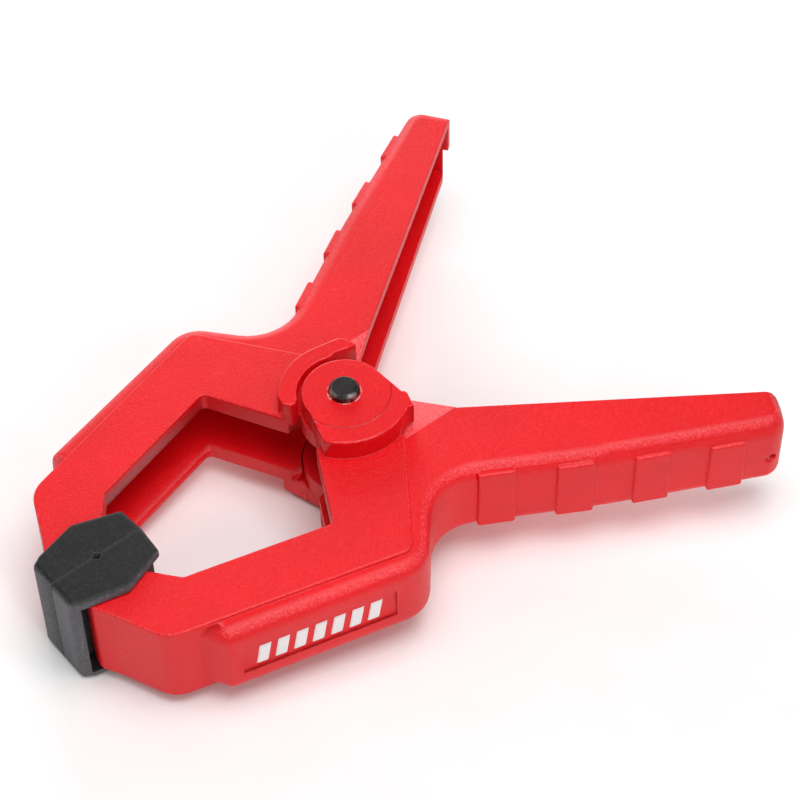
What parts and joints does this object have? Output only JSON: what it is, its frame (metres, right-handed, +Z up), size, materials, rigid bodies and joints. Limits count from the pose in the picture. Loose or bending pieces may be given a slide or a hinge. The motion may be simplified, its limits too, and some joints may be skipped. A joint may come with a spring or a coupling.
{
  "type": "spring clamp",
  "caption": "Hand spring clamp with two channel-section moulded arms, an off-set ear pivot on a steel pin, a torsion spring and rocking jaw pads.",
  "frame": {"origin": "centre of the pivot pin's lower end face", "axes": "-X towards the jaws, +X towards the handles, +Y towards the far arm, +Z up along the pivot pin"},
  "size_m": [0.1742, 0.143, 0.041],
  "materials": {
    "arm_nylon": "fine spark-eroded grain",
    "pad_rubber": "satin moulded",
    "pin_steel": "black oxide",
    "spring_steel": "drawn wire"
  },
  "bodies": {
    "near_half": {"near_arm": "arm_nylon", "pivot_pin": "pin_steel", "torsion_spring": "spring_steel"},
    "far_half": {"far_arm": "arm_nylon"},
    "near_pad_body": {"near_pad": "pad_rubber"},
    "far_pad_body": {"far_pad": "pad_rubber"}
  },
  "joints": [
    {"name": "jaw_hinge", "type": "hinge", "parent": "near_half", "child": "far_half", "pos_m": [0, 0, 0.0205], "axis": [0, 0, -1], "range_deg": [0, 52], "stiffness_Nm_per_rad": 2, "springref_deg": -57.3, "deforming": ["torsion_spring"]},
    {"name": "near_pad_rock", "type": "hinge", "parent": "near_half", "child": "near_pad_body", "pos_m": [-0.074, -0.0095, 0.0205], "axis": [0, 0, -1], "range_deg": [0, 13]},
    {"name": "far_pad_rock", "type": "hinge", "parent": "far_half", "child": "far_pad_body", "pos_m": [-0.074, 0.0095, 0.0205], "axis": [0, 0, 1], "range_deg": [0, 13]}
  ],
  "couplings": [
    {"joint": "near_pad_rock", "follows": "jaw_hinge", "ratio": 0.25},
    {"joint": "far_pad_rock", "follows": "jaw_hinge", "ratio": 0.25}
  ]
}
